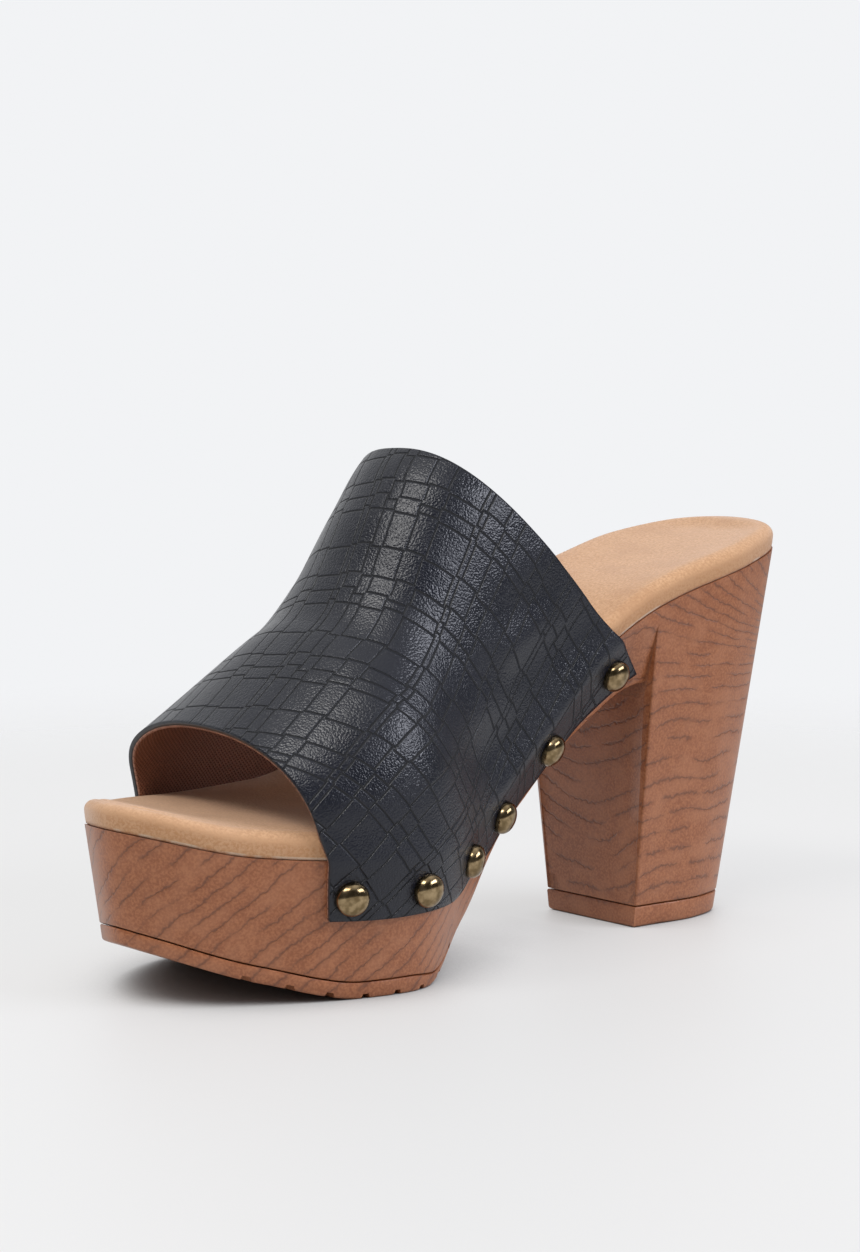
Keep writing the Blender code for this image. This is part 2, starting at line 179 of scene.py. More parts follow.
medialEdge, lateralEdge = outlineSides()
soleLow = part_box("sole_unit")[0]
toFrame = np.array([soleLow[0] - lateralEdge[:, 0].min(), soleLow[1] - medialEdge[0, 1], 0.0])


def edgePoint(side, along):  # x, y, outward x and y, and the length round from the toe's tip
    edge = medialEdge if side > 0 else lateralEdge
    y = edge[0, 1] + (edge[-1, 1] - edge[0, 1]) * min(max(along, 0.0), 1.0)
    row = np.array([np.interp(y, edge[:, 1], edge[:, i]) for i in range(5)])
    row[2:4] /= np.linalg.norm(row[2:4])
    return row[:2], row[2:4], row[4]


def topHeight(along):
    return (shoe["platformHeight"] + profileAt("rise", along) * shoe["lift"]
            + profileAt("toeTop", along) * shoe["toeSpring"])


def underHeight(along):
    return profileAt("arch", along) * shoe["lift"] + profileAt("toeUnder", along) * shoe["toeSpring"]


def outsoleThickness(along):
    full, end = shoe["outsole"], shoe["outsoleEnd"]
    return eased([0.0, shoe["outsoleFull"], shoe["outsoleAlong"]], [full, full, end], along)


def wallPoint(side, along, drop, inset=0.0):
    point, outward, _ = edgePoint(side, along)
    draft = profileAt("draft", along) if drop > 0 else 0.0
    x, y = point - outward * (draft * drop + inset)
    return np.array([x, y, topHeight(along) - drop])


def wallNormal(side, along, drop):
    step = 0.5 * shoe["lap"]
    share = step / shoe["length"]
    run = wallPoint(side, along + share, drop) - wallPoint(side, along - share, drop)
    fall = wallPoint(side, along, drop + step / 2) - wallPoint(side, along, drop - step / 2)
    normal = np.cross(run, fall) * -side
    return normal / np.linalg.norm(normal)


def skinPoint(side, along, drop, out):
    return wallPoint(side, along, drop) + wallNormal(side, along, drop) * out


def heelPoint(side, along, height):
    top, _, _ = edgePoint(side, along)
    corner, _, _ = edgePoint(side, shoe["breastAlong"])
    baseFront = corner[1] + shoe["breastLean"]
    base = np.array([
        top[0] * shoe["heelBaseHalfWidth"] / abs(corner[0]),
        baseFront + (top[1] - corner[1]) * shoe["heelBaseLength"] / (shoe["length"] - corner[1]),
    ])
    share = height / topHeight(along)
    x, y = base * (1 - share) + top * share
    return np.array([x, y, height])


def heelCentre():
    front = shoe["breastAlong"] * shoe["length"] + shoe["breastLean"]
    return np.array([0.0, front + shoe["heelBaseLength"] / 2])


def footbedPoint(side, along, height, inset):
    point, outward, _ = edgePoint(side, along)
    x, y = point - outward * (shoe["insoleReveal"] + inset)
    return np.array([x, y, topHeight(y / shoe["length"]) + shoe["gap"] + height])


def stations(first, last, count):
    full = [(1 - math.cos(math.pi * i / count)) / 2 for i in range(count + 1)]
    inner = [s for s in full if first + 0.0015 < s < last - 0.0015]
    nearTip = [0.0003, 0.0009] if first == 0.0 else []
    nearBack = [0.9991, 0.9997] if last == 1.0 else []
    return [first] + nearTip + inner + nearBack + [last]


def layGrid(points, charts, ring=False):
    points = np.asarray(points) + toFrame
    rows, columns = points.shape[:2]
    bm = bmesh.new()
    bmesh.ops.create_grid(bm, x_segments=columns - 1, y_segments=rows - 1, size=1)
    places = {}
    for vert in bm.verts:
        i = round((vert.co.x + 1) / 2 * (columns - 1))
        j = round((vert.co.y + 1) / 2 * (rows - 1))
        places[vert] = (j, i)
    chart = bm.loops.layers.uv.new("chart")
    for face in bm.faces:
        for loop in face.loops:
            loop[chart].uv = charts[places[loop.vert]]
    for vert, place in places.items():
        vert.co = points[place]
    if ring:
        bmesh.ops.remove_doubles(bm, verts=bm.verts, dist=1e-6)
        rims = [edge for edge in bm.edges if edge.is_boundary]
        if rims:
            bmesh.ops.holes_fill(bm, edges=rims)
        bmesh.ops.recalc_face_normals(bm, faces=bm.faces)
    bm.faces.ensure_lookup_table()
    return bm


def finishPiece(name, bm, materials, nodes=(), sharp=40):
    mesh = bpy.data.meshes.new(name)
    bm.to_mesh(mesh)
    bm.free()
    mesh.shade_smooth()
    if sharp:
        mesh.set_sharp_from_angle(angle=math.radians(sharp))
    for material in materials:
        mesh.materials.append(material)
    piece = bpy.data.objects.new(name, mesh)
    bpy.context.scene.collection.objects.link(piece)
    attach(piece, "root")
    if nodes:
        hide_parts(*nodes)
    return piece


# Shader helpers

numberSocket, colourSocket, vectorSocket = "NodeSocketFloat", "NodeSocketColor", "NodeSocketVector"


def opaque(value):
    return (*value, 1.0) if isinstance(value, tuple) and len(value) == 3 else value


def addNode(tree, kind, inputs=None, **settings):
    node = tree.nodes.new(kind)
    for name, value in settings.items():
        setattr(node, name, value)
    for name, value in (inputs or {}).items():
        if isinstance(value, bpy.types.NodeSocket):
            tree.links.new(value, node.inputs[name])
        else:
            node.inputs[name].default_value = value
    return node


def doMath(tree, operation, a, b=0.0, c=0.0):
    inputs = {0: a, 1: b}
    if operation in ("MULTIPLY_ADD", "WRAP"):
        inputs[2] = c
    return addNode(tree, "ShaderNodeMath", inputs, operation=operation).outputs[0]


def noise(tree, place, scale, detail=2.0):
    inputs = {"Vector": place, "Scale": scale, "Detail": detail}
    return addNode(tree, "ShaderNodeTexNoise", inputs).outputs[0]


def objectPlace(tree):
    return addNode(tree, "ShaderNodeTexCoord").outputs["Object"]


def ownChart(tree):
    return addNode(tree, "ShaderNodeUVMap", uv_map="chart").outputs[0]


def steppedRamp(tree, value, stops):
    node = addNode(tree, "ShaderNodeValToRGB", {0: value})
    node.color_ramp.interpolation = "CONSTANT"
    elements = node.color_ramp.elements
    while len(elements) < len(stops):
        elements.new(0.5)
    for element, (place, colour) in zip(elements, stops):
        element.position = place
        element.color = opaque(colour)
    return node.outputs[0]


def smoothMask(tree, value, low, high, first=0.0, last=1.0):
    node = addNode(tree, "ShaderNodeMapRange", {0: value, 1: low, 2: high, 3: first, 4: last},
                   interpolation_type="SMOOTHSTEP", clamp=True)
    return node.outputs[0]


def mixColour(tree, factor, a, b):
    inputs = {0: factor, 6: opaque(a), 7: opaque(b)}
    return addNode(tree, "ShaderNodeMix", inputs, data_type="RGBA").outputs[2]


def newGroup(name, inputs, outputs):
    tree = bpy.data.node_groups.new(name, "ShaderNodeTree")
    for title, kind, value in inputs:
        socket = tree.interface.new_socket(title, in_out="INPUT", socket_type=kind)
        if value is not None:
            socket.default_value = value
    for title, kind in outputs:
        tree.interface.new_socket(title, in_out="OUTPUT", socket_type=kind)
    source = tree.nodes.new("NodeGroupInput")
    sink = tree.nodes.new("NodeGroupOutput")
    return tree, source.outputs, sink.inputs


def useGroup(tree, group, inputs):
    return addNode(tree, "ShaderNodeGroup", inputs, node_tree=group).outputs


def newMaterial(name, **values):
    material = bpy.data.materials.new(name)
    material.use_nodes = True
    tree = material.node_tree
    shader = tree.nodes["Principled BSDF"]
    for title, value in values.items():
        shader.inputs[title.replace("_", " ")].default_value = opaque(value)
    return material, tree, shader


def addBump(tree, shader, height, distance):
    bump = addNode(tree, "ShaderNodeBump", {"Height": height, "Distance": distance, "Strength": 1.0})
    tree.links.new(bump.outputs[0], shader.inputs["Normal"])


def makePebble():
    tree, given, made = newGroup(
        "pebbleGrain", [("Vector", vectorSocket, None), ("Size", numberSocket, 0.0006)],
        [("Height", numberSocket)])
    scale = doMath(tree, "DIVIDE", 1.0, given["Size"])
    cells = addNode(tree, "ShaderNodeTexVoronoi", {"Vector": given["Vector"], "Scale": scale},
                    feature="SMOOTH_F1")
    soft = doMath(tree, "MULTIPLY", noise(tree, given["Vector"], scale, 3.0), 0.12)
    height = doMath(tree, "MULTIPLY_ADD", cells.outputs["Distance"], -1.2, soft)
    tree.links.new(height, made["Height"])
    return tree


pebbleGrain = makePebble()

# The embossed pattern, charted in millimetres on the flat sheet. The strips run
# from the toe edge to the collar, and each has its own rows across it.
emboss = {
    "strips": [2.0, 4.7, 3.3, 6.7, 5.8, 10.5, 1.9, 6.4, 5.7, 9.0, 5.0, 9.0],
    "firstStrip": 6.0,
    "rows": [2.0, 10.5, 21.3, 25.2],
    "rowRepeat": 28.2,
    "turn": (-0.17, 0.13),       # how far the pattern lies turned from the crest's own line
    # for each strip: all its rows' shift, then the third's and the fourth's own
    "rowShift": [(0.0, 0.8, 0.0), (0.5, -0.6, 0.3), (-0.5, 0.3, -0.6), (-0.2, -0.6, 0.1),
                 (0.3, 0.2, -1.3), (-0.5, 0.3, 0.3), (0.3, 1.1, 0.4), (0.6, -0.7, -0.6),
                 (-0.3, 0.9, 0.0), (0.4, -0.2, -1.2), (0.0, 0.9, 0.5), (-0.6, 0.1, 0.4)],
    "stripShift": [0.35, -0.30, 0.10, -0.45],
    "reach": 2.0,                # the widest shift that the ramps' colours hold, either way
    # where the dark line, its wall and its shoulder start and end, away from its middle
    "line": (0.13, 0.27),
    "wall": (0.07, 0.42),
    "shoulder": (0.30, 0.90),
}


def makeLattice():
    tree, given, made = newGroup(
        "embossLattice", [("Chart", vectorSocket, None)],
        [(title, numberSocket) for title in ("Line", "Wall", "Shoulder", "Cell")])
    chart = addNode(tree, "ShaderNodeSeparateXYZ", {0: given["Chart"]})
    run = doMath(tree, "MULTIPLY", chart.outputs[0], 1000.0)
    side = doMath(tree, "MULTIPLY", chart.outputs[1], 1000.0)
    along = doMath(tree, "MULTIPLY_ADD", side, emboss["turn"][0], run)
    across = doMath(tree, "MULTIPLY_ADD", run, emboss["turn"][1], side)
    across = doMath(tree, "SUBTRACT", across, emboss["firstStrip"])

    strips, repeat, reach = emboss["strips"], emboss["rowRepeat"], emboss["reach"]
    width = sum(strips)
    starts = [sum(strips[:i]) for i in range(len(strips))]

    def packed(shift):
        return 0.5 + shift / (2 * reach)

    def unpacked(value):
        return doMath(tree, "MULTIPLY_ADD", value, 2 * reach, -reach)

    stripAt = doMath(tree, "FRACT", doMath(tree, "DIVIDE", across, width))
    stops = [(start / width, tuple(packed(shift) for shift in shifts))
             for start, shifts in zip(starts, emboss["rowShift"])]
    found = addNode(tree, "ShaderNodeSeparateColor", {0: steppedRamp(tree, stripAt, stops)})
    whole, third, fourth = (unpacked(found.outputs[i]) for i in range(3))
    rowsAt = doMath(tree, "WRAP", doMath(tree, "SUBTRACT", along, whole), repeat, 0.0)
    rowShare = doMath(tree, "DIVIDE", rowsAt, repeat)
    stops = [(0.0, (packed(emboss["stripShift"][-1]),) * 3)]
    stops += [(row / repeat, (packed(own),) * 3) for row, own in zip(emboss["rows"], emboss["stripShift"])]
    shift = unpacked(steppedRamp(tree, rowShare, stops))

    best = None
    for row, own in zip(emboss["rows"], (None, None, third, fourth)):
        place = rowsAt if own is None else doMath(tree, "SUBTRACT", rowsAt, own)
        away = doMath(tree, "ABSOLUTE", doMath(tree, "SUBTRACT", place, row))
        best = away if best is None else doMath(tree, "MINIMUM", best, away)
    stripsAt = doMath(tree, "WRAP", doMath(tree, "ADD", across, shift), width, 0.0)
    for start in starts + [width]:
        away = doMath(tree, "ABSOLUTE", doMath(tree, "SUBTRACT", stripsAt, start))
        best = doMath(tree, "MINIMUM", best, away)
    tree.links.new(smoothMask(tree, best, *emboss["line"], 1.0, 0.0), made["Line"])
    tree.links.new(smoothMask(tree, best, *emboss["wall"]), made["Wall"])
    tree.links.new(smoothMask(tree, best, *emboss["shoulder"]), made["Shoulder"])
    cell = addNode(tree, "ShaderNodeCombineXYZ", {0: whole, 1: doMath(tree, "ADD", shift, third)})
    spin = addNode(tree, "ShaderNodeTexWhiteNoise", {"Vector": cell.outputs[0]}, noise_dimensions="2D")
    tree.links.new(spin.outputs["Value"], made["Cell"])
    return tree


embossLattice = makeLattice()

leather = {
    "face": (0.0050, 0.0062, 0.0120),
    "worn": (0.0080, 0.0092, 0.0160),
    "cell": (0.0105, 0.012, 0.020),      # some cells between the lines are a little lighter
    # the line's darker colour is painted shade in the embossed grooves
    "line": (0.0015, 0.002, 0.004),
    "roughness": 0.27,
    "lineRoughness": 0.45,
    "grain": 0.00048,
    "relief": 0.00016,
}


def makeUpperMaterial():
    material, tree, shader = newMaterial("embossedLeather", Specular_IOR_Level=0.45)
    chart, place = ownChart(tree), objectPlace(tree)
    lattice = useGroup(tree, embossLattice, {"Chart": chart})
    grain = useGroup(tree, pebbleGrain, {"Vector": place, "Size": leather["grain"]})["Height"]
    mottle = noise(tree, place, 60.0)
    slant = {"Vector": chart, "Rotation": (0.0, 0.0, math.radians(38)), "Scale": (300.0, 1500.0, 1.0)}
    hairs = noise(tree, addNode(tree, "ShaderNodeMapping", slant).outputs[0], 1.0)
    creases = doMath(tree, "MULTIPLY", hairs, smoothMask(tree, mottle, 0.46, 0.58))
    face = mixColour(tree, smoothMask(tree, mottle, 0.35, 0.7), leather["face"], leather["worn"])
    face = mixColour(tree, doMath(tree, "MULTIPLY", lattice["Cell"], 0.35), face, leather["cell"])
    # the grooves are darkened in the colour: painted shade
    face = mixColour(tree, lattice["Line"], face, leather["line"])
    tree.links.new(face, shader.inputs["Base Color"])
    rough = doMath(tree, "MULTIPLY_ADD", lattice["Cell"], 0.07, leather["roughness"])
    rough = doMath(tree, "MULTIPLY_ADD", lattice["Line"], leather["lineRoughness"], rough)
    tree.links.new(rough, shader.inputs["Roughness"])
    height = doMath(tree, "MULTIPLY_ADD", grain, 0.75, doMath(tree, "MULTIPLY", lattice["Shoulder"], 0.10))
    height = doMath(tree, "MULTIPLY_ADD", creases, 0.10, height)
    height = doMath(tree, "MULTIPLY_ADD", lattice["Wall"], 1.5, height)
    addBump(tree, shader, height, leather["relief"])
    return material


def makeLiningMaterial():
    material, tree, shader = newMaterial("canvasLining", Roughness=0.85, Specular_IOR_Level=0.25)
    inputs = {"Vector": ownChart(tree), "Scale": 330.0, "Distortion": 1.5}
    warp, weft = (
        addNode(tree, "ShaderNodeTexWave", inputs, wave_type="BANDS", bands_direction=run).outputs["Fac"]
        for run in ("X", "Y"))
    cloth = doMath(tree, "MAXIMUM", warp, weft)
    tone = mixColour(tree, cloth, (0.172, 0.084, 0.058), (0.372, 0.190, 0.135))
    tree.links.new(tone, shader.inputs["Base Color"])
    addBump(tree, shader, cloth, 0.00018)
    return material


def makeEdgeMaterial():
    material, tree, shader = newMaterial("paintedEdge", Roughness=0.45)
    rubs = noise(tree, objectPlace(tree), 900.0)
    tone = mixColour(tree, rubs, (0.006, 0.006, 0.009), (0.030, 0.030, 0.036))
    tree.links.new(tone, shader.inputs["Base Color"])
    addBump(tree, shader, rubs, 0.00015)
    return material


suede = {
    "dark": (0.50, 0.275, 0.140),
    "light": (0.64, 0.385, 0.218),
    "brushed": (0.47, 0.255, 0.135),
    "faded": (0.67, 0.435, 0.285),
    "darkerBelow": (0.42, 0.205, 0.090),
    "glue": (0.62, 0.47, 0.34),
}


def makeSuedeMaterial():
    material, tree, shader = newMaterial(
        "camelSuede", Roughness=0.92, Specular_IOR_Level=0.15, Sheen_Weight=0.35, Sheen_Roughness=0.45)
    place = objectPlace(tree)
    nap, brushed = noise(tree, place, 1400.0, 4.0), noise(tree, place, 90.0, 3.0)
    broad = noise(tree, place, 22.0)
    tone = mixColour(tree, smoothMask(tree, nap, 0.3, 0.7), suede["dark"], suede["light"])
    tone = mixColour(tree, smoothMask(tree, brushed, 0.40, 0.75, 0.0, 0.5), tone, suede["brushed"])
    tone = mixColour(tree, smoothMask(tree, broad, 0.45, 0.75, 0.0, 0.35), tone, suede["faded"])
    # speckled darker low down round the side, with a pale line of glue in places along the sole
    level = addNode(tree, "ShaderNodeSeparateXYZ", {0: ownChart(tree)}).outputs[1]
    darkerBelow = doMath(tree, "MULTIPLY", smoothMask(tree, level, 0.0022, 0.0062, 0.75, 0.0),
                    smoothMask(tree, nap, 0.35, 0.62))
    tone = mixColour(tree, darkerBelow, tone, suede["darkerBelow"])
    glued = doMath(tree, "MULTIPLY", smoothMask(tree, level, 0.0003, 0.0008, 1.0, 0.0),
                   smoothMask(tree, brushed, 0.50, 0.60))
    tone = mixColour(tree, glued, tone, suede["glue"])
    tree.links.new(tone, shader.inputs["Base Color"])
    addBump(tree, shader, doMath(tree, "MULTIPLY_ADD", brushed, 0.8, nap), 0.00016)
    return material


# The sole's moulded wood figure: lines of dark grain across a speckled brown
wood = {
    "dark": (0.260, 0.084, 0.031),
    "light": (0.375, 0.139, 0.057),
    "cloud": (0.41, 0.168, 0.080),
    # the shade colour is painted shade in a broader band beside each grain line
    "shade": (0.18, 0.062, 0.030),
    "line": (0.105, 0.038, 0.020),
    "sway": 7.0,                 # how far the lines wander slowly, in millimetres
    "jag": 1.9,                  # and how far at each step
    "soleSpacing": 5.2,
    "treadSpacing": 7.0,
    "relief": 0.00025,
}


def makeWoodFigure():
    tree, given, made = newGroup(
        "woodFigure",
        [("Chart", vectorSocket, None), ("Vector", vectorSocket, None), ("Spacing", numberSocket, 5.0)],
        [("Colour", colourSocket), ("Height", numberSocket), ("Tone", numberSocket)])
    chart = addNode(tree, "ShaderNodeSeparateXYZ", {0: given["Chart"]})
    place = given["Vector"]
    across = doMath(tree, "MULTIPLY", chart.outputs[0], 1000.0)
    across = doMath(tree, "MULTIPLY_ADD", noise(tree, place, 55.0), wood["sway"], across)
    across = doMath(tree, "MULTIPLY_ADD", noise(tree, place, 700.0, 1.0), wood["jag"], across)
    turns = doMath(tree, "DIVIDE", across, given["Spacing"])
    away = doMath(tree, "ABSOLUTE", doMath(tree, "SUBTRACT", doMath(tree, "FRACT", turns), 0.5))
    # each line fades in and out along its own way
    lineNumber = doMath(tree, "FLOOR", turns)
    along = doMath(tree, "MULTIPLY", chart.outputs[1], 80.0)
    spot = addNode(tree, "ShaderNodeCombineXYZ", {0: doMath(tree, "MULTIPLY", lineNumber, 7.3), 1: along})
    shown = smoothMask(tree, noise(tree, spot.outputs[0], 1.0, 1.0), 0.36, 0.50)
    line = doMath(tree, "MULTIPLY", smoothMask(tree, away, 0.0, 0.115, 1.0, 0.0), shown)
    # painted shade: a broader darker band beside each line
    shade = doMath(tree, "MULTIPLY", smoothMask(tree, away, 0.0, 0.40, 1.0, 0.0), shown)
    speck, cloud = noise(tree, place, 1500.0), noise(tree, place, 120.0, 3.0)
    tone = mixColour(tree, smoothMask(tree, speck, 0.35, 0.68), wood["dark"], wood["light"])
    tone = mixColour(tree, smoothMask(tree, cloud, 0.40, 0.70, 0.0, 0.45), tone, wood["cloud"])
    tone = mixColour(tree, doMath(tree, "MULTIPLY", shade, 0.28), tone, wood["shade"])
    tone = mixColour(tree, doMath(tree, "MULTIPLY", line, 0.58), tone, wood["line"])
    tree.links.new(tone, made["Colour"])
    height = doMath(tree, "MULTIPLY_ADD", line, -0.35, doMath(tree, "MULTIPLY", speck, 0.25))
    tree.links.new(height, made["Height"])
    tree.links.new(speck, made["Tone"])
    return tree


woodFigure = makeWoodFigure()


def makeWoodMaterial(name, spacing, roughness):
    material, tree, shader = newMaterial(name, Roughness=roughness, Specular_IOR_Level=0.5)
    inputs = {"Chart": ownChart(tree), "Vector": objectPlace(tree), "Spacing": spacing}
    figure = useGroup(tree, woodFigure, inputs)
    tree.links.new(figure["Colour"], shader.inputs["Base Color"])
    rough = doMath(tree, "MULTIPLY_ADD", figure["Tone"], 0.2, roughness - 0.1)
    tree.links.new(rough, shader.inputs["Roughness"])
    addBump(tree, shader, figure["Height"], wood["relief"])
    return material


def makeBrassMaterial():
    material, tree, shader = newMaterial("antiqueBrass", Metallic=1.0, Roughness=0.18)
    stain = noise(tree, objectPlace(tree), 500.0, 4.0)
    worn = mixColour(tree, smoothMask(tree, stain, 0.35, 0.7), (0.17, 0.120, 0.060), (0.36, 0.265, 0.150))
    tree.links.new(worn, shader.inputs["Base Color"])
    tree.links.new(doMath(tree, "MULTIPLY_ADD", stain, 0.16, 0.08), shader.inputs["Roughness"])
    addBump(tree, shader, stain, 0.000008)
    return material


embossedLeather = makeUpperMaterial()
canvasLining = makeLiningMaterial()
paintedEdge = makeEdgeMaterial()
camelSuede = makeSuedeMaterial()
soleWood = makeWoodMaterial("soleWood", wood["soleSpacing"], 0.38)
treadWood = makeWoodMaterial("treadWood", wood["treadSpacing"], 0.42)
antiqueBrass = makeBrassMaterial()
print("materials made")


# The sole unit

soleUnit = {
    "steps": 150, "wallRows": 18, "bottomColumns": 10, "breastRows": 14,
    "corner": 0.0006,            # the heel's front corners, rounded
    "cornerFade": 0.0060,        # below the top, where the corner starts
    "ledge": 0.0040, "ledgeFrom": 0.70,
    # how the lower edge rounds in, as shares of the joint's lip: height left, way in
    "lipRounding": [(0.62, 0.10), (0.25, 0.45), (0.05, 1.0)],
}

# The grain lines climb towards the heel under the forefoot, and lie level down the heel. Round
# the toe they keep their lean, so they turn on the outer side. Marks are shares of the edge.
grainClimb = {
    "marks": [0.0, 0.06, 0.20, 0.45, 0.60, 0.78, 1.0],
    "medial": [0.74, 0.74, 0.74, 0.74, 0.55, 0.0, 0.0],
    "lateral": [-0.74, -0.74, 1.226, 1.226, 0.55, 0.0, 0.0],
    "stretch": 1.18,
    "fall": 0.75,
}


def grainChart(side, along, point, face):
    x, y, z = point
    _, _, run = edgePoint(side, along)
    if face == "breast":
        return (z - 15.0 * x * x, x)
    if face == "under":
        return (0.6 * y + z - 12.0 * x * x, x)
    edge = medialEdge if side > 0 else lateralEdge
    slopes = grainClimb["medial" if side > 0 else "lateral"]
    shares = np.linspace(0, run / edge[-1, 4], 24)
    total = np.trapz(np.interp(shares, grainClimb["marks"], slopes), shares)
    behind = max(along - shoe["breastAlong"] + 0.02, 0.0) * shoe["length"]
    fall = grainClimb["fall"] * smoothStep(0.062, 0.100, z) * behind
    return (z - total * shoe["length"] * grainClimb["stretch"] + fall, run)


def waistRing(along, recess):
    rows, lip = soleUnit["wallRows"], shoe["lip"]
    depth = topHeight(along) - underHeight(along) - recess
    flare = smoothStep(soleUnit["ledgeFrom"], shoe["breastAlong"], along)
    drops = [(depth - lip) * i / rows for i in range(rows + 1)]
    drops += [depth - lip * left for left, _ in soleUnit["lipRounding"]]
    insets = [0.0] * (rows + 1) + [lip * inward for _, inward in soleUnit["lipRounding"]]
    halves = []
    for side in (1, -1):
        wall, chart = [], []
        for drop, inset in zip(drops, insets):
            point = wallPoint(side, along, drop, inset)
            held = min(drop, soleUnit["ledge"]) * flare * profileAt("draft", along)
            _, outward, _ = edgePoint(side, along)
            point[:2] += outward * held
            wall.append(point)
            chart.append(grainChart(side, along, point, "wall"))
        halves.append((wall, chart))
    return closeRing(halves, along, "under")


def heelRing(along, turn=None):
    rows, lip, radius = soleUnit["wallRows"], shoe["lip"], soleUnit["corner"]
    floor, top = shoe["heelTip"] + shoe["gap"], topHeight(along)
    heights = [top + (floor + lip - top) * i / rows for i in range(rows + 1)]
    heights += [floor + lip * left for left, _ in soleUnit["lipRounding"]]
    insets = [0.0] * (rows + 1) + [lip * inward for _, inward in soleUnit["lipRounding"]]
    halves = []
    for side in (1, -1):
        wall, chart = [], []
        for height, inset in zip(heights, insets):
            point = heelPoint(side, along, height)
            point[:2] += (heelCentre() - point[:2]) * inset / shoe["heelBaseHalfWidth"]
            if turn is not None:
                fade = smoothStep(0.0, soleUnit["cornerFade"], top - height)
                point[0] -= side * radius * (1 - math.sin(turn)) * fade
                point[1] += radius * (1 - math.cos(turn)) * fade
            wall.append(point)
            chart.append(grainChart(side, along, point, "wall"))
        halves.append((wall, chart))
    return closeRing(halves, along, "breast")


def closeRing(halves, along, face):
    bottoms = soleUnit["bottomColumns"]
    (medial, medialChart), (lateral, lateralChart) = halves
    middle = (medial[0] + lateral[0]) / 2
    points, charts = [middle], [grainChart(1, along, middle, "under")]
    points += medial
    charts += medialChart
    for i in range(1, bottoms):
        point = medial[-1] + (lateral[-1] - medial[-1]) * i / bottoms
        points.append(point)
        charts.append(grainChart(1, along, point, face))
    points += lateral[::-1] + [middle]
    charts += lateralChart[::-1] + [charts[0]]
    return np.array(points), np.array(charts)


def layRings(rings):
    return layGrid([ring[0] for ring in rings], np.array([ring[1] for ring in rings]), ring=True)


def makeSoleUnit():
    rings, steps, breast = [], soleUnit["steps"], shoe["breastAlong"]
    for along in stations(0.0, shoe["outsoleAlong"], steps):
        rings.append(waistRing(along, outsoleThickness(along) + shoe["gap"]))
    for along in stations(shoe["outsoleAlong"], breast, steps):
        rings.append(waistRing(along, 0.0))
    first = heelRing(breast, 0.0)
    last = rings[-1]
    for i in range(1, soleUnit["breastRows"]):
        share = i / soleUnit["breastRows"]
        points = last[0] * (1 - share) + first[0] * share
        charts = np.array([grainChart(1, breast, point, "breast") for point in points])
        rings.append((points, charts))
    for turn in (0.0, 22.5, 45.0, 67.5):
        rings.append(heelRing(breast, math.radians(turn)))
    for along in stations(breast + 0.005, 1.0, steps):
        rings.append(heelRing(along))
    bm = layRings(rings)
    return finishPiece("soleUnit", bm, [soleWood], ["sole_unit"], sharp=32)


# The tread's bars: grooves across the outsole, and how each is cut, as shares of width and depth
tread = {
    "pitch": 0.0103, "groove": 0.0026, "depth": 0.0013, "firstGroove": 0.105,
    "cut": [(-0.5, 0.0), (-0.42, 0.5), (-0.34, 1.0), (0.34, 1.0), (0.42, 0.5), (0.5, 0.0)],
}


def makeOutsole():
    pitch, width = tread["pitch"] / shoe["length"], tread["groove"] / shoe["length"]
    lastAlong = shoe["outsoleAlong"] - 2 * shoe["gap"] / shoe["length"]
    cuts = np.arange(tread["firstGroove"], lastAlong - pitch / 2, pitch)
    marks = [(along, 0.0) for along in stations(0.0, lastAlong, soleUnit["steps"])]
    marks = [mark for mark in marks if all(abs(mark[0] - cut) > width * 0.75 for cut in cuts)]
    for cut in cuts:
        for share, lift in tread["cut"]:
            marks.append((cut + width * share, tread["depth"] * lift))
    marks.sort()
    rings = []
    for along, lift in marks:
        depth, thickness = topHeight(along) - underHeight(along), outsoleThickness(along)
        rounding = min(shoe["lip"] * 2, thickness / 3)
        lip = min(shoe["lip"], thickness / 4)
        halves = []
        for side in (1, -1):
            wall = [
                wallPoint(side, along, depth - thickness, lip),
                wallPoint(side, along, depth - thickness + lip * 0.25, lip * 0.4),
                wallPoint(side, along, depth - thickness + lip, 0.0),
                wallPoint(side, along, depth - (thickness + rounding) / 2, 0.0),
            ]
            for angle in (0, 22.5, 45, 67.5, 90):
                turn = math.radians(angle)
                drop = depth - max(rounding * (1 - math.sin(turn)), lift)
                wall.append(wallPoint(side, along, drop, rounding * (1 - math.cos(turn))))
            chart = [grainChart(side, along, point, "wall") for point in wall]
            halves.append((wall, chart))
        rings.append(closeRing(halves, along, "under"))
    bm = layRings(rings)
    return finishPiece("outsoleTread", bm, [treadWood], ["outsole"], sharp=38)


# The top piece under the heel: its foot's rounding, and the columns of its front face
topPiece = {"foot": 0.0011, "frontColumns": 12}


def makeHeelTip():
    top, lip, foot = shoe["heelTip"], shoe["lip"], topPiece["foot"]
    levels = [(top, 1.0), (top, lip), (top - lip * 0.25, lip * 0.4), (top - lip, 0.0), (top * 0.5, 0.0)]
    for angle in (0, 22.5, 45, 67.5, 90):
        turn = math.radians(angle)
        levels.append((foot * (1 - math.sin(turn)), foot * (1 - math.cos(turn))))
    levels.append((0.0, 1.0))
    around = stations(shoe["breastAlong"], 1.0, soleUnit["steps"])
    spots = [(1, along) for along in around] + [(-1, along) for along in reversed(around[:-1])]
    centre, columns = heelCentre(), topPiece["frontColumns"]
    rings, charts = [], []
    for height, inset in levels:
        ring = [heelPoint(side, along, height) for side, along in spots]
        front = [ring[-1] + (ring[0] - ring[-1]) * i / columns for i in range(columns + 1)]
        ring = ring + front[1:]
        share = min(inset / shoe["heelBaseHalfWidth"], 1.0) if inset < 1.0 else 0.98
        for point in ring:
            point[:2] += (centre - point[:2]) * share
        rings.append(ring)
        charts.append([(point[2], point[0]) for point in ring])
    bm = layGrid(rings, np.array(charts), ring=True)
    return finishPiece("heelTopPiece", bm, [treadWood], ["heel_tip"], sharp=32)


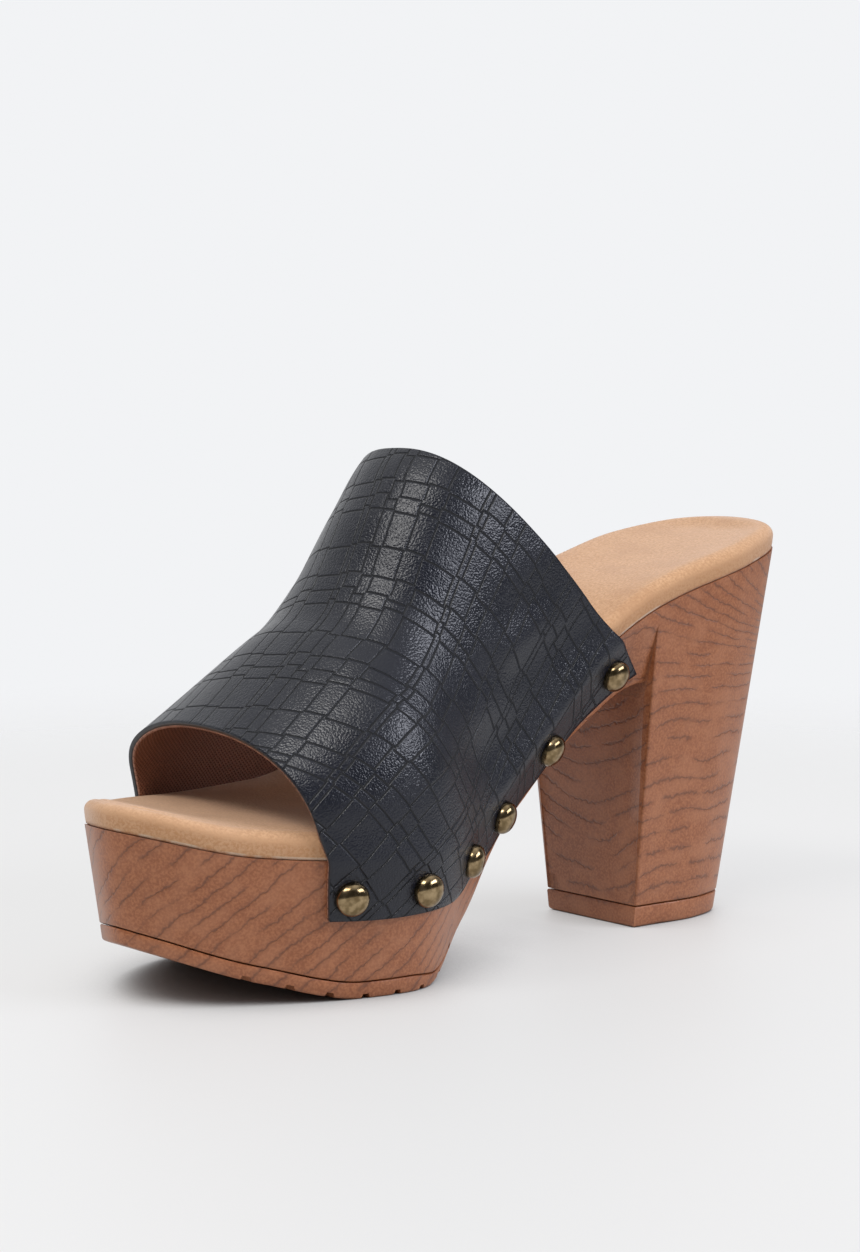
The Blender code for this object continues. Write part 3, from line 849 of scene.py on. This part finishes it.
# The padded footbed
footbed = {
    "rows": 190, "columns": 22,
    "edge": 0.0034, "bulge": 0.0005,     # the side's rounding at the top, and how far it swells
    "cup": 0.0012, "crown": 0.0006,      # the heel's hollow, and the rise of the rest
}


def makeInsole():
    thick, radius = shoe["insole"], footbed["edge"]
    rows, charts = [], []
    for along in stations(0.0, 1.0, footbed["rows"]):
        cup = footbed["cup"] * eased([0.0, 0.60, 0.80, 0.95, 1.0], [0, 0, 1, 1, 0], along)
        taper = eased([0.0, 0.02, 0.98, 1.0], [0, 1, 1, 0], along)
        halves = []
        bulge = footbed["bulge"]
        section = [(-shoe["gap"], 0.0006), (0.0, 0.0), (0.0006, -bulge * 0.3), (0.0014, -bulge * 0.6)]
        for angle in range(0, 91, 10):
            turn = math.radians(angle)
            section.append((thick - radius + radius * math.sin(turn),
                            radius * (1 - math.cos(turn)) - bulge * math.cos(turn)))
        for side in (1, -1):
            halves.append([footbedPoint(side, along, height, inset) for height, inset in section])
        heights = [height for height, inset in section]
        medial, lateral = halves
        start, end = medial[-1], lateral[-1]
        top = []
        for i in range(1, footbed["columns"]):
            share = i / footbed["columns"]
            point = start * (1 - share) + end * share
            spread = 1 - (2 * share - 1) ** 2
            crown = footbed["crown"] * (1 - (2 * share - 1) ** 8) * (1 - cup / footbed["cup"])
            point[2] += taper * (crown - cup * spread)
            top.append(point)
        bottom = [medial[0] + (lateral[0] - medial[0]) * i / 6 for i in range(7)]
        rows.append(medial + top + lateral[::-1] + bottom[::-1][1:])
        levels = heights + [thick] * len(top) + heights[::-1] + [heights[0]] * 6
        charts.append([(along * shoe["length"], level) for level in levels])
    bm = layGrid(rows, np.array(charts), ring=True)
    piece = finishPiece("footbed", bm, [camelSuede], ["insole"], sharp=0)
    return piece


# The upper
vamp = {
    "rows": 150, "columns": 190,
    "leather": 0.0013, "lining": 0.0007, "glue": 0.00002,
    # troughs pressed in: depth, then distance from the hem and width in millimetres
    "flank": (0.0013, 27.0, 8.0),
    "toeCorner": (0.0016, 29.0, 8.0),
    "dimple": (0.00035, 0.0062),         # depth and reach round each stud
}
# Soft folds: share across from toe edge to collar, millimetres aside from the crest, direction
# in degrees from the long way, then length, width and depth in millimetres
folds = [
    # across, aside, turn, length, width, depth
    (0.86, 62.0, 35.0, 30.0, 5.0, 0.55),
    (0.80, 74.0, 20.0, 24.0, 4.0, 0.45),
    (0.70, 66.0, 48.0, 26.0, 5.0, 0.40),
    (0.55, 70.0, 30.0, 24.0, 5.0, 0.35),
    (0.90, -60.0, -35.0, 30.0, 5.0, 0.50),
    (0.72, -70.0, -28.0, 26.0, 5.0, 0.40),
]


def upperSection(across):
    row = {name: eased(upperTable["across"], upperTable[name], across) for name in upperNames[1:]}
    out = shoe["gap"] + shoe["wall"]
    feet = (skinPoint(1, row["medialFoot"], 0.0, out), skinPoint(-1, row["lateralFoot"], 0.0, out))
    crest = np.array([
        row["crestSide"] * shoe["ballWidth"] / 2,
        row["crestAlong"] * shoe["length"],
        (feet[0][2] + feet[1][2]) / 2 + row["crestHeight"] * shoe["vamp"],
    ])

    def bank(side, name, foot):
        lean = (crest[1] - foot[1]) / (crest[2] - foot[2]) / shoe["length"]
        hemAlong, footAlong = row[name + "Hem"], row[name + "Foot"]
        points = []
        for share in (1.0, 0.75, 0.5, 0.25, 0.0):
            along = footAlong + (hemAlong - footAlong) * share
            points.append(skinPoint(side, along, shoe["lap"] * share, out))
        for share in (0.5, 1.0):
            along = footAlong + lean * shoe["bank"] * share
            drop = -(foot[2] + shoe["bank"] * share - topHeight(along))
            points.append(skinPoint(side, along, drop, out))
        return points

    medial, lateral = bank(1, "medial", feet[0]), bank(-1, "lateral", feet[1])
    middle = (medial[-1] + lateral[-1]) / 2
    halfSpan, reach = (medial[-1] - lateral[-1]) / 2, crest - (medial[-1] + lateral[-1]) / 2
    over = []
    for i in range(1, 40):
        angle = math.pi * i / 40
        full = row["medialFull"] if angle < math.pi / 2 else row["lateralFull"]
        cos, sin = math.cos(angle), math.sin(angle)
        aside = halfSpan * math.copysign(abs(cos) ** (2 / full), cos)
        over.append(middle + aside + reach * sin ** (2 / full))
    points = np.array(medial + over + lateral[::-1])
    lengths = np.concatenate([[0], np.cumsum(np.linalg.norm(np.diff(points, axis=0), axis=1))])
    return points, lengths[len(medial) + 19], lengths[-1]


def layUpper():
    rows, columns = vamp["rows"], vamp["columns"]
    points, asides = [], []
    for j in range(rows):
        section, crestAt, total = upperSection(j / (rows - 1))
        points.append(smoothPath(section, columns, closed=False))
        asides.append(crestAt - np.linspace(0, total, columns))
    points, asides = np.array(points), np.array(asides)
    # lengths along lines that keep their distance from the crest, measured from the middle
    marks = np.linspace(-0.13, 0.13, 131)
    spots = np.array([[np.interp(marks, asides[j][::-1], points[j][::-1, k]) for k in range(3)]
                      for j in range(rows)]).transpose(0, 2, 1)
    steps = np.linalg.norm(np.diff(spots, axis=0), axis=2)
    lengths = np.concatenate([np.zeros((1, len(marks))), np.cumsum(steps, axis=0)])
    # the cross lines start square to them, so the middle section's own slant is added
    half = rows // 2
    ahead = spots[half + 1] - spots[half - 1]
    ahead /= np.linalg.norm(ahead, axis=1)[:, None]
    slant = np.concatenate([[0.0], np.cumsum((np.diff(spots[half], axis=0) * ahead[1:]).sum(axis=1))])
    lengths += slant - slant[len(marks) // 2] - lengths[half]
    alongs = np.array([np.interp(asides[j], marks, lengths[j]) for j in range(rows)])
    return points, np.stack([alongs, asides], axis=-1)


def outwardOf(points):
    across = np.gradient(points, axis=1)
    along = np.gradient(points, axis=0)
    normals = np.cross(along, across)
    normals /= np.linalg.norm(normals, axis=2)[:, :, None]
    middle = normals[normals.shape[0] // 2, normals.shape[1] // 2]
    return normals if middle[2] > 0 else -normals


def creaseUpper(points, charts):
    rows = len(points)
    lift = np.zeros(points.shape[:2])
    for across, aside, turn, length, width, depth in folds:
        j = int(across * (rows - 1))
        i = int(np.argmin(abs(charts[j, :, 1] - aside / 1000)))
        centre = charts[j, i]
        away = (charts - centre) * 1000
        cos, sin = math.cos(math.radians(turn)), math.sin(math.radians(turn))
        run = away[..., 0] * cos + away[..., 1] * sin
        side = -away[..., 0] * sin + away[..., 1] * cos + 1.2 * np.sin(run / 9.0)
        body = np.exp(-(run / (length / 2)) ** 4)
        trough = -np.exp(-(side / width) ** 2) + 0.45 * np.exp(-((abs(side) - 1.9 * width) / width) ** 2)
        lift += depth / 1000 * trough * body
    # the flanks press in a little above the hem, but not at the toe edge or the collar
    rise = np.linspace(0, 1, rows)[:, None]
    middle = np.clip((rise - 0.25) / 0.35, 0, 1) * np.clip((1.0 - rise) / 0.22, 0, 1)
    fromHem = [abs(charts[:, :, 1] - charts[:, far, 1][:, None]) * 1000 for far in (0, -1)]
    depth, above, width = vamp["flank"]
    for hem in fromHem:
        waves = 1 + 0.25 * np.sin(rise * 19.0 + hem / 9.0)
        lift -= depth * (middle * waves) * np.exp(-((hem - above) / width) ** 2)
    # the outer corner of the toe opening stands in a little
    depth, above, width = vamp["toeCorner"]
    lift -= depth * np.exp(-(rise / 0.30) ** 2) * np.exp(-((fromHem[1] - above) / width) ** 2)
    depth, reach = vamp["dimple"]
    for side in (1, -1):
        for along in studAlong:
            seat = skinPoint(side, along, shoe["studDrop"], shoe["gap"] + shoe["wall"])
            away = np.linalg.norm(points - seat, axis=2)
            lift -= depth * np.exp(-(away / reach) ** 2)
    return points + outwardOf(points) * lift[..., None]


def makeUpper():
    points, charts = layUpper()
    points = creaseUpper(points, charts)
    outward = outwardOf(points)
    faces = [embossedLeather, paintedEdge, paintedEdge]
    makeSheet("embossedUpper", points, charts, outward, vamp["leather"], faces, ["upper"])
    inner = points - outward * (vamp["leather"] + vamp["glue"])
    makeSheet("upperLining", inner, charts, outward, vamp["lining"], [canvasLining], [])


def makeSheet(name, points, charts, outward, thickness, materials, nodes):
    bm = layGrid(points, charts)
    if bm.faces[0].normal.dot(Vector(outward[0, 0])) < 0:
        bmesh.ops.reverse_faces(bm, faces=bm.faces)
    sheet = finishPiece(name, bm, materials, nodes, sharp=0)
    wall = sheet.modifiers.new("wall", "SOLIDIFY")
    wall.thickness = thickness
    wall.offset = -1.0
    wall.use_even_offset = True
    wall.material_offset = 1     # the inner face and the rim have materials of their own
    wall.material_offset_rim = 2


# The studs
def makeStud(side, along, name, node):
    bm = bmesh.new()
    radius, rise = shoe["studDiameter"] / 2, shoe["studRise"]
    outline = [(0.0, rise)]
    for i in range(1, 9):
        angle = math.radians(90 * i / 8)
        outline.append((radius * math.sin(angle) ** 0.95, rise * math.cos(angle) ** 0.85))
    outline += [(radius * 0.995, -0.0004), (radius * 0.90, -0.0010)]
    verts = [bm.verts.new((r, 0, z)) for r, z in outline]
    for a, b in zip(verts, verts[1:]):
        bm.edges.new((a, b))
    bmesh.ops.spin(bm, geom=bm.verts[:] + bm.edges[:], cent=(0, 0, 0), axis=(0, 0, 1), dvec=(0, 0, 0),
                   angle=math.tau, steps=40, use_merge=True, use_duplicate=False)
    bmesh.ops.remove_doubles(bm, verts=bm.verts, dist=1e-6)
    rims = [edge for edge in bm.edges if edge.is_boundary]
    bmesh.ops.contextual_create(bm, geom=rims)
    bmesh.ops.recalc_face_normals(bm, faces=bm.faces)
    seat = skinPoint(side, along, shoe["studDrop"], shoe["gap"] * 2 + shoe["wall"]) + toFrame
    turn = Vector(wallNormal(side, along, shoe["studDrop"])).to_track_quat("Z", "Y").to_matrix().to_4x4()
    bmesh.ops.transform(bm, matrix=Matrix.Translation(seat) @ turn, verts=bm.verts)
    return finishPiece(name, bm, [antiqueBrass], [node], sharp=50)


soleUnitPiece = makeSoleUnit()
print("sole unit made", len(soleUnitPiece.data.polygons))
makeOutsole()
makeHeelTip()
print("tread and top piece made")
insolePiece = makeInsole()
print("footbed made", len(insolePiece.data.polygons))
makeUpper()
print("upper made")
for side, word in ((1, "medial"), (-1, "lateral")):
    for count, along in enumerate(studAlong, start=1):
        makeStud(side, along, f"{word}Stud{count}", f"stud_{word}_{count}")
print("studs made")


# Floor, light and camera

def direction(azimuth, elevation):
    a, e = math.radians(azimuth), math.radians(elevation)
    return Vector((math.sin(a) * math.cos(e), -math.cos(a) * math.cos(e), math.sin(e)))


# the floor's glow is painted light, its own emission
paleFloor = {"radius": 1.6, "tone": (0.25, 0.249, 0.247), "paintedGlow": 0.49, "fadeFrom": 0.30, "fadeTo": 0.62}


def makeFloor():
    bm = bmesh.new()
    bmesh.ops.create_circle(bm, cap_ends=True, segments=96, radius=paleFloor["radius"])
    material, tree, shader = newMaterial(
        "paleFloor", Roughness=0.55, Base_Color=paleFloor["tone"], Emission_Color=(1.0, 1.0, 1.0))
    away = addNode(tree, "ShaderNodeVectorMath", {0: objectPlace(tree)}, operation="LENGTH")
    faded = smoothMask(tree, away.outputs["Value"], paleFloor["fadeFrom"], paleFloor["fadeTo"], 1.0, 0.0)
    tree.links.new(faded, shader.inputs["Alpha"])
    # the floor glows, painted light that lifts the shadows on it, and the glow fades out close under the
    # shoe: a painted contact shadow
    shut = addNode(tree, "ShaderNodeAmbientOcclusion", {"Distance": 0.05}, samples=8).outputs["AO"]
    paintedGlow = smoothMask(tree, shut, 0.10, 0.70, 0.0, paleFloor["paintedGlow"])
    tree.links.new(paintedGlow, shader.inputs["Emission Strength"])
    mesh = bpy.data.meshes.new("paleFloor")
    bm.to_mesh(mesh)
    bm.free()
    mesh.materials.append(material)
    floor = bpy.data.objects.new("paleFloor", mesh)
    bpy.context.scene.collection.objects.link(floor)


makeFloor()

# A broad light low behind on the right, another high in front, and a pale room
studio = {
    "backdrop": (0.887, 0.896, 0.913),
    "brightSide": (-0.94, 0.34, 0.0),
    "sideLevel": 1.00,
    "cameraLevel": 0.12,
    "topLevel": 1.02,
    "floorLevel": 0.45,
    "aim": (0.0, 0.0, 0.06),
    "lamps": [
        # azimuth, elevation, distance, width, height, power, colour
        (124.0, 26.0, 1.60, 1.05, 0.45, 14.5, (0.93, 0.96, 1.07)),
        (18.0, 53.0, 1.60, 1.25, 0.45, 15.5, (1.0, 0.985, 0.965)),
    ],
}


def makeWorld():
    world = bpy.data.worlds.new("paleRoom")
    bpy.context.scene.world = world
    world.use_nodes = True
    tree = world.node_tree
    back = tree.nodes["Background"]
    back.inputs["Color"].default_value = (*studio["backdrop"], 1.0)
    towards = addNode(tree, "ShaderNodeTexCoord").outputs["Generated"]
    rise = addNode(tree, "ShaderNodeSeparateXYZ", {0: towards}).outputs[2]
    near = addNode(tree, "ShaderNodeVectorMath", {0: towards, 1: studio["brightSide"]},
                   operation="DOT_PRODUCT").outputs["Value"]
    level = smoothMask(tree, near, 0.0, 0.90, studio["cameraLevel"], studio["sideLevel"])
    up = smoothMask(tree, rise, 0.50, 0.95)
    level = doMath(tree, "MULTIPLY_ADD", up, doMath(tree, "SUBTRACT", studio["topLevel"], level), level)
    down = smoothMask(tree, rise, -0.12, 0.0, 1.0, 0.0)
    level = doMath(tree, "MULTIPLY_ADD", down, doMath(tree, "SUBTRACT", studio["floorLevel"], level), level)
    seen = addNode(tree, "ShaderNodeLightPath").outputs["Is Camera Ray"]
    level = doMath(tree, "MULTIPLY_ADD", seen, doMath(tree, "SUBTRACT", 1.0, level), level)
    tree.links.new(level, back.inputs["Strength"])


def makeLights():
    makeWorld()
    aim = Vector(studio["aim"])
    for count, (azimuth, elevation, distance, wide, high, power, tint) in enumerate(studio["lamps"]):
        lamp = bpy.data.lights.new(f"softbox{count}", "AREA")
        lamp.shape = "RECTANGLE"
        lamp.size = wide
        lamp.size_y = high
        lamp.energy = power
        lamp.color = tint
        item = bpy.data.objects.new(f"softbox{count}", lamp)
        item.visible_camera = False
        item.location = aim + direction(azimuth, elevation) * distance
        item.rotation_mode = "QUATERNION"
        item.rotation_quaternion = direction(azimuth, elevation).to_track_quat("Z", "Y")
        bpy.context.scene.collection.objects.link(item)


makeLights()
bpy.context.scene.view_settings.view_transform = "Standard"

# The photograph's view, in its own 860 x 1252 frame
photoView = {
    "pivot": (-0.0019, 0.0, 0.080), "distance": 0.850, "azimuth": 50.278, "elevation": 6.439,
    "lookAzimuth": 50.442, "lookElevation": 5.904, "focalPixels": 3122.7, "tall": 1252, "sensor": 36.0,
}

camera = bpy.data.cameras.new("photoCamera")
camera.sensor_width = photoView["sensor"]
camera.lens = photoView["focalPixels"] / photoView["tall"] * photoView["sensor"]
cameraItem = bpy.data.objects.new("photoCamera", camera)
away = direction(photoView["azimuth"], photoView["elevation"]) * photoView["distance"]
cameraItem.location = Vector(photoView["pivot"]) + away
cameraItem.rotation_mode = "QUATERNION"
look = direction(photoView["lookAzimuth"], photoView["lookElevation"])
cameraItem.rotation_quaternion = (-look).to_track_quat("-Z", "Y")
bpy.context.scene.collection.objects.link(cameraItem)
bpy.context.scene.camera = cameraItem
